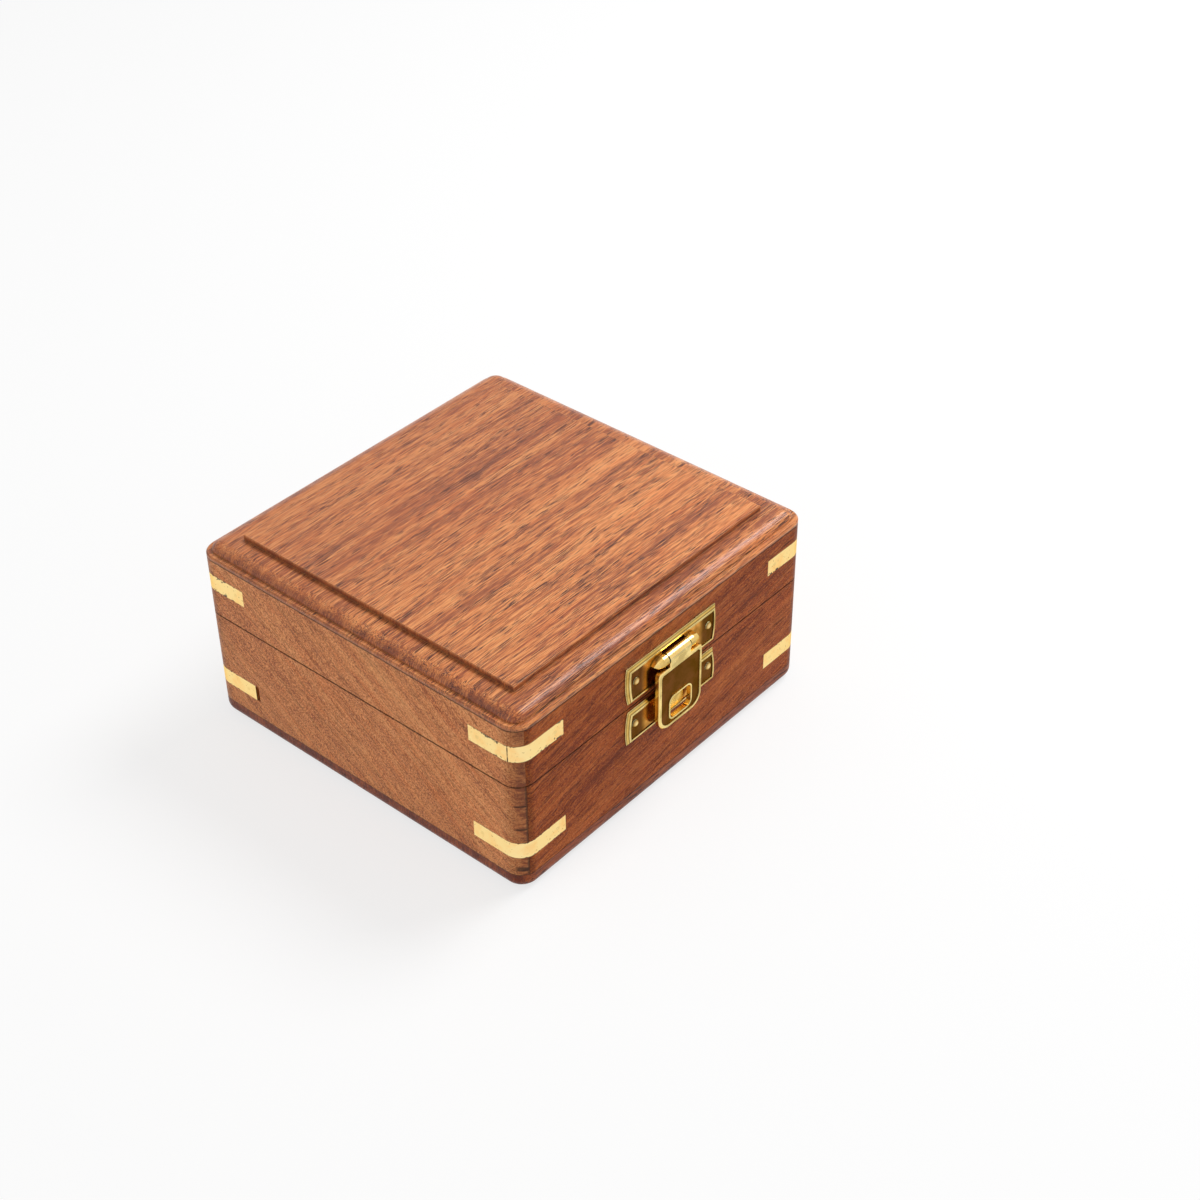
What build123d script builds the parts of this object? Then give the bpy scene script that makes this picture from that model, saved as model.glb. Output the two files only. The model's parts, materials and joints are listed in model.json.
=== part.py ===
from build123d import *
import math
import os

# Wooden box for a pocket compass. Millimetres, +Z up, the front faces -Y.
# The origin is the centre of the footprint on the table.

# Closed box
WIDTH = 110.0
DEPTH = 108.6
CORNER_RADIUS = 5.0
WALL = 7.5
SEAM_Z = 33.2
SEAM_GAP = 0.3
WALL_TOP_Z = 50.6

# Corner joint: the side boards keep a lip that covers the ends of the front and back boards
JOINT_LIP = 2.8

# Bottom board, glued under the walls
BOTTOM_THICKNESS = 4.6
BOTTOM_ROUNDING = 2.8

# Top board, glued on the lid walls: bead at the rim, quarter round, shelf, raised field
TOP_THICKNESS = 4.9
BEAD_WIDTH = 1.5
BEAD_HEIGHT = 1.0
BEAD_CHAMFER = 0.4
OVOLO_HEIGHT = 2.4
FIELD_INSET = 8.4
FIELD_CHAMFER = 0.2

# Brass corner straps, let in flush
STRAP_THICKNESS = 1.2
STRAP_LEG = 15.6
STRAP_HEIGHT = 4.9
UPPER_STRAP_Z = 41.0
LOWER_STRAP_Z = 10.4
LONG_SLOT = 1.3

# Butt hinges at the back
HINGE_X = 30.0
HINGE_LENGTH = 22.0
HINGE_SETBACK = 1.0
KNUCKLE_RADIUS = 1.6
KNUCKLE_GAP = 0.3
MIDDLE_KNUCKLE = 9.0
LEAF_WIDTH = 5.6
LEAF_THICKNESS = 0.9
HINGE_PIN_RADIUS = 0.7
RUNNING_CLEARANCE = 0.05
PART_CLEARANCE = 0.3
MORTISE_MARGIN = 0.1

# Bevels of the back edges, on which the open lid stops
STOP_ANGLE = 53.5

# Stamped latch plates. A standoff is measured outwards from the front wall.
PLATE_EDGE = 0.3
PLATE_RIDGE = 1.0
PLATE_FIELD = 0.75
PLATE_BEVEL = 0.9
RIDGE_WIDTH = 0.45
PLATE_SEAM_HALF = 16.5
PLATE_BULGE_HALF = 17.4
PLATE_FAR_HALF = 17.0
BULGE_SHARE = 0.62
UPPER_PLATE_Z = (34.9, 46.1)
LOWER_PLATE_Z = (32.4, 22.2)

# Pivot of the latch tongue, in a window between two raised blisters of the upper plate
PIVOT_Z = 42.4
PIVOT_STANDOFF = 1.9
LATCH_PIN_RADIUS = 0.6
LATCH_PIN_LENGTH = 14.0
BARREL_RADIUS = 1.6
BARREL_HALF = 4.0
BLISTER_RADIUS = 1.5
BLISTER_STRAIGHT = 1.5
BLISTER_NOSE = 7.5
NOSE_RADIUS = 1.1
BLISTER_END = 8.6
WINDOW_HEIGHT = 4.6

# Latch tongue and the catch lug that it drops over
TONGUE_BACK = 2.2
TONGUE_THICKNESS = 1.3
TONGUE_WIDTH = 16.6
TONGUE_SHOULDER = 2.0
SHOULDER_ROUNDING = 1.0
TONGUE_TIP_Z = 21.7
TONGUE_CORNER = 4.0
TONGUE_RIM = 0.9
TONGUE_DISH = 0.25
TONGUE_CHAMFER = 0.25
LUG_Z = 27.2
LUG_WIDTH = 6.8
LUG_HEIGHT = 5.4
LUG_TIP = 1.95
LUG_CORNER = 1.5
LUG_CHAMFER = 0.6
SLOT_MARGIN = 0.6

# Cradle for the compass: round recess, two bays for its hinges, two finger scallops
CRADLE_GAP = 0.15
CRADLE_TOP_Z = 32.2
CRADLE_CHAMFER = 0.8
RECESS_FLOOR_Z = 8.0
RECESS_RADIUS = 41.5
BAY_WIDTH = 34.0
BAY_REACH = 44.0
BAY_ROUNDING = 3.0
FINGER_RADIUS = 9.0
FINGER_X = 35.5

# Felt in the recess and under the lid
FELT_GAP = 0.3
RECESS_FELT = 1.2
LID_FELT = 1.5
LID_FELT_GAP = 0.5
LID_FELT_CORNER = 2.0

# Worked out from the above
SIDES = (-1, 1)
SIDE_WORDS = {-1: "left", 1: "right"}
END_WORDS = {-1: "front", 1: "back"}
BASE_RIM_Z = SEAM_Z - SEAM_GAP / 2
LID_RIM_Z = SEAM_Z + SEAM_GAP / 2
INNER_WIDTH = WIDTH - 2 * WALL
INNER_DEPTH = DEPTH - 2 * WALL
HINGE_Y = DEPTH / 2 - HINGE_SETBACK
PIVOT_Y = -DEPTH / 2 - PIVOT_STANDOFF
BLISTER_START = BARREL_HALF + PART_CLEARANCE
FRONT = Plane(origin=(0, -DEPTH / 2, 0), x_dir=(1, 0, 0), z_dir=(0, -1, 0))


def save(part, name):
    """Label a finished piece and write it to its own file."""
    part.label = name
    export_step(part, f"parts/{name}.step")


def rod(radius, low, high, y, z):
    """Round bar along X."""
    with BuildPart() as bar:
        with BuildSketch(Plane.YZ.offset(low)):
            with Locations((y, z)):
                Circle(radius)
        extrude(amount=high - low)
    return bar.part


# Corner straps

def corner_strap(side, end, low, extra=0.0):
    """Strap bent round one corner. extra lengthens the leg on the side board."""
    leg = STRAP_LEG + extra
    with BuildPart() as strap:
        with BuildSketch(Plane.XY.offset(low)):
            RectangleRounded(WIDTH, DEPTH, CORNER_RADIUS)
            width, depth = WIDTH - 2 * STRAP_THICKNESS, DEPTH - 2 * STRAP_THICKNESS
            RectangleRounded(width, depth, CORNER_RADIUS - STRAP_THICKNESS, mode=Mode.SUBTRACT)
            with Locations((side * (WIDTH - STRAP_LEG) / 2, end * (DEPTH - leg) / 2)):
                Rectangle(STRAP_LEG, leg, mode=Mode.INTERSECT)
        extrude(amount=STRAP_HEIGHT)
    return strap.part


# Hinges. upward is 1 for the lid's half and -1 for the base's half.

def rim_z(upward):
    """Height of the rim that a hinge leaf is let into."""
    return SEAM_Z + upward * SEAM_GAP / 2


def knuckle_spans(x, upward):
    """Ranges along X of a leaf's own knuckles and of the other leaf's."""
    half, middle = HINGE_LENGTH / 2, MIDDLE_KNUCKLE / 2
    inner = [(x - middle, x + middle)]
    outer = [(x - half, x - middle - KNUCKLE_GAP), (x + middle + KNUCKLE_GAP, x + half)]
    return (inner, outer) if upward > 0 else (outer, inner)


def hinge_leaf(x, upward):
    """Leaf with its knuckles: the middle one on the lid, the outer two on the base."""
    own, other = knuckle_spans(x, upward)
    bore = HINGE_PIN_RADIUS + (RUNNING_CLEARANCE if upward > 0 else 0)
    reliefs = [
        rod(KNUCKLE_RADIUS + PART_CLEARANCE, low - KNUCKLE_GAP, high + KNUCKLE_GAP, HINGE_Y, SEAM_Z)
        for low, high in other
    ]
    knuckles = [rod(KNUCKLE_RADIUS, low, high, HINGE_Y, SEAM_Z) for low, high in own]
    pin_hole = rod(bore, x - HINGE_LENGTH, x + HINGE_LENGTH, HINGE_Y, SEAM_Z)
    with BuildPart() as leaf:
        with BuildSketch(Plane.XY.offset(rim_z(upward))):
            with Locations((x, HINGE_Y - LEAF_WIDTH / 2)):
                Rectangle(HINGE_LENGTH, LEAF_WIDTH)
        extrude(amount=upward * LEAF_THICKNESS)
        for relief in reliefs:
            add(relief, mode=Mode.SUBTRACT)
        for knuckle in knuckles:
            add(knuckle)
        add(pin_hole, mode=Mode.SUBTRACT)
    return leaf.part


def hinge_pins():
    """Two pins, one through the knuckles of each hinge."""
    with BuildPart() as pins:
        for x in (-HINGE_X, HINGE_X):
            add(rod(HINGE_PIN_RADIUS, x - HINGE_LENGTH / 2, x + HINGE_LENGTH / 2, HINGE_Y, SEAM_Z))
    return pins.part


def hinge_mortise(x, upward):
    """Wood taken out of a back board for one leaf and the barrel."""
    half = HINGE_LENGTH / 2 + MORTISE_MARGIN
    groove = rod(KNUCKLE_RADIUS + 2 * MORTISE_MARGIN, x - half, x + half, HINGE_Y, SEAM_Z)
    inner, outer = HINGE_Y - LEAF_WIDTH, DEPTH / 2 + KNUCKLE_RADIUS
    with BuildPart() as cut:
        with BuildSketch(Plane.XY.offset(rim_z(upward))):
            with Locations((x, (inner + outer) / 2)):
                Rectangle(2 * half, outer - inner)
        extrude(amount=upward * LEAF_THICKNESS)
        add(groove)
    return cut.part


def stop_bevel(upward):
    """Bevel of a back board's rim. Its slope runs through the hinge axis."""
    slope = math.tan(math.radians(STOP_ANGLE))
    rim = rim_z(upward)
    start = HINGE_Y + SEAM_GAP / 2 / slope
    outer = DEPTH / 2 + KNUCKLE_RADIUS
    top = rim + upward * (outer - start) * slope
    with BuildPart() as cut:
        with BuildSketch(Plane.YZ):
            with BuildLine():
                Polyline((start, rim), (outer, rim), (outer, top), close=True)
            make_face()
        extrude(amount=WIDTH / 2, both=True)
    return cut.part


# Boards

def side_board(side, low, high, cutters):
    """Left or right board, with the lip of the corner joint at both ends."""
    with BuildPart() as board:
        with BuildSketch(Plane.XY.offset(low)):
            with Locations((side * (WIDTH - WALL) / 2, 0)):
                Rectangle(WALL, INNER_DEPTH)
            with Locations((side * (WIDTH - JOINT_LIP) / 2, 0)):
                Rectangle(JOINT_LIP, DEPTH)
            RectangleRounded(WIDTH, DEPTH, CORNER_RADIUS, mode=Mode.INTERSECT)
        extrude(amount=high - low)
        for cutter in cutters:
            add(cutter, mode=Mode.SUBTRACT)
    return board.part


def end_board(end, low, high, cutters):
    """Front or back board, between the lips of the side boards."""
    with BuildPart() as board:
        with BuildSketch(Plane.XY.offset(low)):
            with Locations((0, end * (DEPTH - WALL) / 2)):
                Rectangle(WIDTH - 2 * JOINT_LIP, WALL)
            RectangleRounded(WIDTH, DEPTH, CORNER_RADIUS, mode=Mode.INTERSECT)
        extrude(amount=high - low)
        for cutter in cutters:
            add(cutter, mode=Mode.SUBTRACT)
    return board.part


def bottom_board():
    """Board under the walls, rounded below."""
    with BuildPart() as board:
        with BuildSketch():
            RectangleRounded(WIDTH, DEPTH, CORNER_RADIUS)
        extrude(amount=BOTTOM_THICKNESS)
        fillet(board.faces().sort_by(Axis.Z)[0].edges(), BOTTOM_ROUNDING)
    return board.part


def moulding(half, ovolo_width, with_field):
    """Section of the top board from its middle, or a corner's centre, out to the rim."""
    shoulder = BEAD_HEIGHT + OVOLO_HEIGHT
    quirk = half - BEAD_WIDTH
    shelf = quirk - ovolo_width
    step = half - FIELD_INSET
    with BuildSketch() as section:
        with BuildLine():
            Polyline((0, 0), (half, 0), (half, BEAD_HEIGHT - BEAD_CHAMFER))
            Line((half, BEAD_HEIGHT - BEAD_CHAMFER), (half - BEAD_CHAMFER, BEAD_HEIGHT))
            Line((half - BEAD_CHAMFER, BEAD_HEIGHT), (quirk, BEAD_HEIGHT))
            EllipticalCenterArc((shelf, BEAD_HEIGHT), ovolo_width, OVOLO_HEIGHT, 0, arc_size=90)
            if with_field:
                Polyline((shelf, shoulder), (step, shoulder), (step, TOP_THICKNESS))
                Polyline((step, TOP_THICKNESS), (0, TOP_THICKNESS), (0, 0))
            else:
                Line((shelf, shoulder), (0, 0))
        make_face()
        if with_field:
            mirror(about=Plane.YZ)
    return section.sketch


def top_board():
    """Moulded top: the section run both ways, mitred, then rounded at the corners."""
    ovolo_width = CORNER_RADIUS - BEAD_WIDTH
    shoulder = BEAD_HEIGHT + OVOLO_HEIGHT
    across = moulding(WIDTH / 2, ovolo_width, True)
    along = moulding(DEPTH / 2, ovolo_width, True)
    corner_section = moulding(CORNER_RADIUS, ovolo_width, False)
    origin = (0, 0, WALL_TOP_Z)
    corner_cuts = []
    for side in SIDES:
        for end in SIDES:
            x, y = side * (WIDTH / 2 - CORNER_RADIUS), end * (DEPTH / 2 - CORNER_RADIUS)
            with BuildPart() as cut:
                with BuildSketch(Plane.XY.offset(WALL_TOP_Z)):
                    with Locations((x + side * CORNER_RADIUS / 2, y + end * CORNER_RADIUS / 2)):
                        Rectangle(CORNER_RADIUS, CORNER_RADIUS)
                extrude(amount=shoulder)
                with BuildSketch(Plane(origin=(x, y, WALL_TOP_Z), x_dir=(1, 0, 0), z_dir=(0, -1, 0))):
                    add(corner_section)
                revolve(axis=Axis((x, y, WALL_TOP_Z), (0, 0, 1)), mode=Mode.SUBTRACT)
            corner_cuts.append(cut.part)
    with BuildPart() as board:
        with BuildSketch(Plane(origin=origin, x_dir=(1, 0, 0), z_dir=(0, -1, 0))):
            add(across)
        extrude(amount=DEPTH / 2, both=True)
        with BuildSketch(Plane(origin=origin, x_dir=(0, 1, 0), z_dir=(1, 0, 0))):
            add(along)
        extrude(amount=WIDTH / 2, both=True, mode=Mode.INTERSECT)
        for cut in corner_cuts:
            add(cut, mode=Mode.SUBTRACT)
        chamfer(board.faces().sort_by(Axis.Z)[-1].edges(), FIELD_CHAMFER)
    return board.part


# Latch

def plate_outline(seam_edge, far_edge):
    """Front view of a latch plate: narrower at the seam, bowed at both ends."""
    bulge_z = seam_edge + BULGE_SHARE * (far_edge - seam_edge)
    with BuildSketch() as face:
        with BuildLine():
            Line((-PLATE_SEAM_HALF, seam_edge), (PLATE_SEAM_HALF, seam_edge))
            Line((-PLATE_FAR_HALF, far_edge), (PLATE_FAR_HALF, far_edge))
            for side in SIDES:
                seam_corner = (side * PLATE_SEAM_HALF, seam_edge)
                far_corner = (side * PLATE_FAR_HALF, far_edge)
                ThreePointArc(seam_corner, (side * PLATE_BULGE_HALF, bulge_z), far_corner)
        make_face()
    return face.sketch


def stamped_plate(seam_edge, far_edge):
    """Latch plate with a bevelled rim, a ridge inside it and a lower field."""
    outline = plate_outline(seam_edge, far_edge)
    with BuildPart() as plate:
        with BuildSketch(FRONT):
            add(outline)
        extrude(amount=PLATE_EDGE)
        with BuildSketch(FRONT.offset(PLATE_EDGE)):
            add(outline)
        with BuildSketch(FRONT.offset(PLATE_RIDGE)):
            add(outline)
            offset(amount=-PLATE_BEVEL, kind=Kind.INTERSECTION)
        loft()
        with BuildSketch(FRONT.offset(PLATE_FIELD)):
            add(outline)
            offset(amount=-(PLATE_BEVEL + RIDGE_WIDTH), kind=Kind.INTERSECTION)
        extrude(amount=PLATE_RIDGE, mode=Mode.SUBTRACT)
    return plate.part


def blister():
    """Raised end of the upper plate that holds one end of the latch pin."""
    shoulder = BLISTER_START + BLISTER_STRAIGHT
    with BuildSketch() as half:
        with BuildLine():
            Polyline((BLISTER_START, 0), (BLISTER_START, BLISTER_RADIUS), (shoulder, BLISTER_RADIUS))
            Polyline((shoulder, BLISTER_RADIUS), (BLISTER_NOSE, NOSE_RADIUS), (BLISTER_END, 0))
            Line((BLISTER_END, 0), (BLISTER_START, 0))
        make_face()
    with BuildPart() as bump:
        with BuildSketch(Plane(origin=(0, PIVOT_Y, PIVOT_Z), x_dir=(1, 0, 0), z_dir=(0, -1, 0))):
            add(half.sketch)
        revolve(axis=Axis((0, PIVOT_Y, PIVOT_Z), (1, 0, 0)), revolution_arc=180)
        with BuildSketch(Plane(origin=(0, -DEPTH / 2, PIVOT_Z), x_dir=(1, 0, 0), z_dir=(0, -1, 0))):
            add(half.sketch)
            mirror(about=Plane.XZ)
        extrude(amount=PIVOT_STANDOFF)
    return bump.part


def upper_plate():
    """Latch plate on the lid, with a window for the tongue's barrel between two blisters."""
    bump = blister()
    pin_hole = rod(LATCH_PIN_RADIUS, -LATCH_PIN_LENGTH / 2, LATCH_PIN_LENGTH / 2, PIVOT_Y, PIVOT_Z)
    flat = stamped_plate(*UPPER_PLATE_Z)
    with BuildPart() as plate:
        add(flat)
        with BuildSketch(FRONT):
            with Locations((0, PIVOT_Z)):
                Rectangle(2 * BLISTER_START, WINDOW_HEIGHT)
        extrude(amount=PLATE_RIDGE, mode=Mode.SUBTRACT)
        add(bump)
        mirror(bump, about=Plane.YZ)
        add(pin_hole, mode=Mode.SUBTRACT)
    return plate.part


def catch_lug():
    """Rounded lug riveted through the lower plate."""
    with BuildPart() as lug:
        with BuildSketch(FRONT):
            with Locations((0, LUG_Z)):
                RectangleRounded(LUG_WIDTH, LUG_HEIGHT, LUG_CORNER)
        extrude(amount=LUG_TIP)
        chamfer(lug.faces().sort_by(Axis.Y)[0].edges(), LUG_CHAMFER)
    return lug.part


def lower_plate(lug):
    """Catch plate on the base, pierced for the lug."""
    flat = stamped_plate(*LOWER_PLATE_Z)
    with BuildPart() as plate:
        add(flat)
        add(lug, mode=Mode.SUBTRACT)
    return plate.part


def tongue_outline(inset):
    """Front view of the tongue below its shoulders, drawn in by inset."""
    shoulder_z = PIVOT_Z - TONGUE_SHOULDER
    height = shoulder_z - TONGUE_TIP_Z
    with BuildSketch() as face:
        with Locations((0, TONGUE_TIP_Z + height / 2)):
            Rectangle(TONGUE_WIDTH - 2 * inset, height - 2 * inset)
        fillet(face.vertices().group_by(Axis.Y)[0], TONGUE_CORNER - inset)
        fillet(face.vertices().group_by(Axis.Y)[-1], SHOULDER_ROUNDING)
    return face.sketch


def latch_tongue():
    """Slotted tongue that hangs from its barrel, with a rim round its dished face."""
    body = tongue_outline(0)
    dish = tongue_outline(TONGUE_RIM)
    barrel = rod(BARREL_RADIUS, -BARREL_HALF, BARREL_HALF, PIVOT_Y, PIVOT_Z)
    bore = rod(LATCH_PIN_RADIUS + RUNNING_CLEARANCE, -BARREL_HALF, BARREL_HALF, PIVOT_Y, PIVOT_Z)
    slot_width = LUG_WIDTH + 2 * SLOT_MARGIN
    slot_height = LUG_HEIGHT + 2 * SLOT_MARGIN
    slot_rim = TONGUE_RIM / 2
    with BuildPart() as tongue:
        with BuildSketch(FRONT.offset(TONGUE_BACK)):
            add(body)
            with Locations((0, PIVOT_Z - TONGUE_SHOULDER)):
                Rectangle(2 * BARREL_HALF, 2 * TONGUE_SHOULDER)
        extrude(amount=TONGUE_THICKNESS)
        chamfer(tongue.faces().sort_by(Axis.Y)[0].edges(), TONGUE_CHAMFER)
        with BuildSketch(FRONT.offset(TONGUE_BACK + TONGUE_THICKNESS - TONGUE_DISH)):
            add(dish)
            with Locations((0, LUG_Z)):
                width, height = slot_width + 2 * slot_rim, slot_height + 2 * slot_rim
                RectangleRounded(width, height, LUG_CORNER + slot_rim, mode=Mode.SUBTRACT)
        extrude(amount=TONGUE_THICKNESS, mode=Mode.SUBTRACT)
        add(barrel)
        add(bore, mode=Mode.SUBTRACT)
        with BuildSketch(FRONT):
            with Locations((0, LUG_Z)):
                RectangleRounded(slot_width, slot_height, LUG_CORNER)
        extrude(amount=TONGUE_BACK + 2 * TONGUE_THICKNESS, mode=Mode.SUBTRACT)
    return tongue.part


# Inside

def recess_plan(inset):
    """Plan of the recess: round body, hinge bays at front and back, finger scallops at the sides."""
    with BuildSketch() as plan:
        Circle(RECESS_RADIUS)
        RectangleRounded(BAY_WIDTH, 2 * BAY_REACH, BAY_ROUNDING)
        with Locations((-FINGER_X, 0), (FINGER_X, 0)):
            Circle(FINGER_RADIUS)
        if inset:
            offset(amount=-inset)
    return plan.sketch


def cradle():
    """Block that fills the base and holds the compass."""
    plan = recess_plan(0)
    with BuildPart() as block:
        with BuildSketch(Plane.XY.offset(BOTTOM_THICKNESS)):
            Rectangle(INNER_WIDTH - 2 * CRADLE_GAP, INNER_DEPTH - 2 * CRADLE_GAP)
        extrude(amount=CRADLE_TOP_Z - BOTTOM_THICKNESS)
        with BuildSketch(Plane.XY.offset(RECESS_FLOOR_Z)):
            add(plan)
        extrude(amount=CRADLE_TOP_Z, mode=Mode.SUBTRACT)
        chamfer(block.faces().sort_by(Axis.Z)[-1].inner_wires()[0].edges(), CRADLE_CHAMFER)
    return block.part


def recess_felt():
    """Felt laid on the floor of the recess."""
    plan = recess_plan(FELT_GAP)
    with BuildPart() as felt:
        with BuildSketch(Plane.XY.offset(RECESS_FLOOR_Z)):
            add(plan)
        extrude(amount=RECESS_FELT)
    return felt.part


def lid_felt():
    """Felt glued to the underside of the top board."""
    width, depth = INNER_WIDTH - 2 * LID_FELT_GAP, INNER_DEPTH - 2 * LID_FELT_GAP
    with BuildPart() as felt:
        with BuildSketch(Plane.XY.offset(WALL_TOP_Z)):
            RectangleRounded(width, depth, LID_FELT_CORNER)
        extrude(amount=-LID_FELT)
    return felt.part


def box_half(half, upward, low, high, strap_z):
    """The four boards, the straps and the hinge leaves of one half."""
    pockets = []
    for side in SIDES:
        for end in SIDES:
            long_slot = LONG_SLOT if (upward, side, end) == (-1, -1, 1) else 0.0
            pockets.append(corner_strap(side, end, strap_z, long_slot))
            strap = corner_strap(side, end, strap_z)
            save(strap, f"{half}_strap_{END_WORDS[end]}_{SIDE_WORDS[side]}")
    cutters = pockets + [stop_bevel(upward)]
    mortises = [hinge_mortise(x, upward) for x in (-HINGE_X, HINGE_X)]
    save(side_board(-1, low, high, cutters), f"{half}_left_board")
    save(side_board(1, low, high, cutters), f"{half}_right_board")
    save(end_board(-1, low, high, cutters), f"{half}_front_board")
    save(end_board(1, low, high, cutters + mortises), f"{half}_back_board")
    save(hinge_leaf(-HINGE_X, upward), f"{half}_hinge_leaf_left")
    save(hinge_leaf(HINGE_X, upward), f"{half}_hinge_leaf_right")


os.makedirs("parts", exist_ok=True)

lug = catch_lug()

# Base
save(bottom_board(), "base_bottom_board")
box_half("base", -1, BOTTOM_THICKNESS, BASE_RIM_Z, LOWER_STRAP_Z)
save(cradle(), "compass_cradle")
save(recess_felt(), "recess_felt")
save(lower_plate(lug), "catch_plate")
save(lug, "catch_lug")
save(hinge_pins(), "hinge_pins")

# Lid
save(top_board(), "lid_top_board")
box_half("lid", 1, LID_RIM_Z, WALL_TOP_Z, UPPER_STRAP_Z)
save(lid_felt(), "lid_felt")
save(upper_plate(), "latch_plate")
save(rod(LATCH_PIN_RADIUS, -LATCH_PIN_LENGTH / 2, LATCH_PIN_LENGTH / 2, PIVOT_Y, PIVOT_Z), "latch_pin")

# Latch
save(latch_tongue(), "latch_tongue")
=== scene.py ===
"""Looks of a small hardwood compass box with brass corner straps, hinges and a drop latch.

The rigid model comes in as a fixed frame. This script dresses its pieces in wood, brass and felt, and adds
the pins, nails, screws and napped felts. Lengths are in metres, +Z is up, and the latch faces -Y.
"""

import json
import logging
import math
from collections.abc import Callable, Iterator, Sequence
from contextlib import contextmanager
from dataclasses import dataclass, field
from enum import Enum
from typing import Any

import bpy
from mathutils import Matrix, Vector

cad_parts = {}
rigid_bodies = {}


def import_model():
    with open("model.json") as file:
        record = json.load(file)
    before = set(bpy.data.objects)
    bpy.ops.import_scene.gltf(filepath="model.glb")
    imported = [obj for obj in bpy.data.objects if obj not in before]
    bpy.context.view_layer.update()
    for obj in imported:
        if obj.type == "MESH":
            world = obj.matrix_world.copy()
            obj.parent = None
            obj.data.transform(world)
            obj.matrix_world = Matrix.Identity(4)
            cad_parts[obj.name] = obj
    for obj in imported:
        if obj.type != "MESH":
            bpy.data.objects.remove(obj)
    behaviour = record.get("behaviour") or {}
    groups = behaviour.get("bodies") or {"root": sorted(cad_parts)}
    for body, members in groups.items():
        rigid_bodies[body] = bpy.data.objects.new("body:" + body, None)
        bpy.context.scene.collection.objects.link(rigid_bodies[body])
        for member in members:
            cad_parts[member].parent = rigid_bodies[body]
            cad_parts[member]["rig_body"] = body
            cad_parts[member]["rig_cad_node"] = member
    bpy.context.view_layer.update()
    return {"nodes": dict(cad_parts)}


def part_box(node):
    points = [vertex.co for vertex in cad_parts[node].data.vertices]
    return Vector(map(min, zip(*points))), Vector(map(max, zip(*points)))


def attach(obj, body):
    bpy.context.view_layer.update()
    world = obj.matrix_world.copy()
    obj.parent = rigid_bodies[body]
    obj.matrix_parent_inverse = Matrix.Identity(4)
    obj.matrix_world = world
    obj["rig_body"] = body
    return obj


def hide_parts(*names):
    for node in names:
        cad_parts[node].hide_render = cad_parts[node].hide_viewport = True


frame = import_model()

LOG = logging.getLogger("compass_box")
MM = 0.001

Colour = tuple[float, float, float]
Triple = tuple[float, float, float]
Node = bpy.types.Node
Piece = bpy.types.Object
Socket = bpy.types.NodeSocket

WHITE: Colour = (1.0, 1.0, 1.0)

# Fineness of each layer of the wood's figure, along the grain and across it
WOOD_SCALES: dict[str, Triple] = {
    "warp": (9.0, 26.0, 26.0),
    "wide": (4.0, 110.0, 110.0),
    "bands": (7.0, 330.0, 330.0),
    "lines": (34.0, 1700.0, 1700.0),
    "fibres": (190.0, 4700.0, 4700.0),
    "mottle": (2300.0, 3300.0, 3300.0),
    "red_streaks": (45.0, 520.0, 520.0),
    "pore_dashes": (240.0, 5600.0, 5600.0),
    "pore_crowds": (30.0, 420.0, 420.0),
}
RAY_SCALES: dict[str, Triple] = {"x": (450.0, 3200.0, 330.0), "y": (330.0, 450.0, 1600.0)}
RED_STREAK: Colour = (1.0, 0.8, 0.7)
WOOD_ROUGHNESS = 0.36
WOOD_RELIEF = 0.08 * MM

BRASS_SPECK: Colour = (0.09, 0.045, 0.015)
# Colour of grime and painted shade in brass crevices.
BRASS_GRIME_AND_SHADE: Colour = (0.05, 0.025, 0.008)
BRASS_SHEEN: Colour = (1.0, 0.78, 0.4)
# Painted reflection tones of the latch: a dark field, partly patina, and a dimmer crest.
FIELD_PATINA_AND_REFLECTION: Colour = (0.13, 0.055, 0.075)
CREST_PATINA_AND_REFLECTION: Colour = (0.8, 0.7, 0.5)
BRASS_RELIEF = 0.02 * MM
RUB_SCALES: tuple[Triple, Triple] = ((350.0, 350.0, 6500.0), (5200.0, 5200.0, 260.0))

FELT_RELIEF = 0.3 * MM


class GrainAxis(Enum):
    """Direction in which the fibres of a board run."""

    ALONG_X = "x"
    ALONG_Y = "y"


class FaceAxis(Enum):
    """Direction that a small fastener's head points in."""

    LEFT = (-1.0, 0.0, 0.0)
    RIGHT = (1.0, 0.0, 0.0)
    FRONT = (0.0, -1.0, 0.0)
    BACK = (0.0, 1.0, 0.0)
    UP = (0.0, 0.0, 1.0)
    DOWN = (0.0, 0.0, -1.0)

    def vector(self) -> Vector:
        """Return the direction as a vector."""
        return Vector(self.value)


# Shader building


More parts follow.
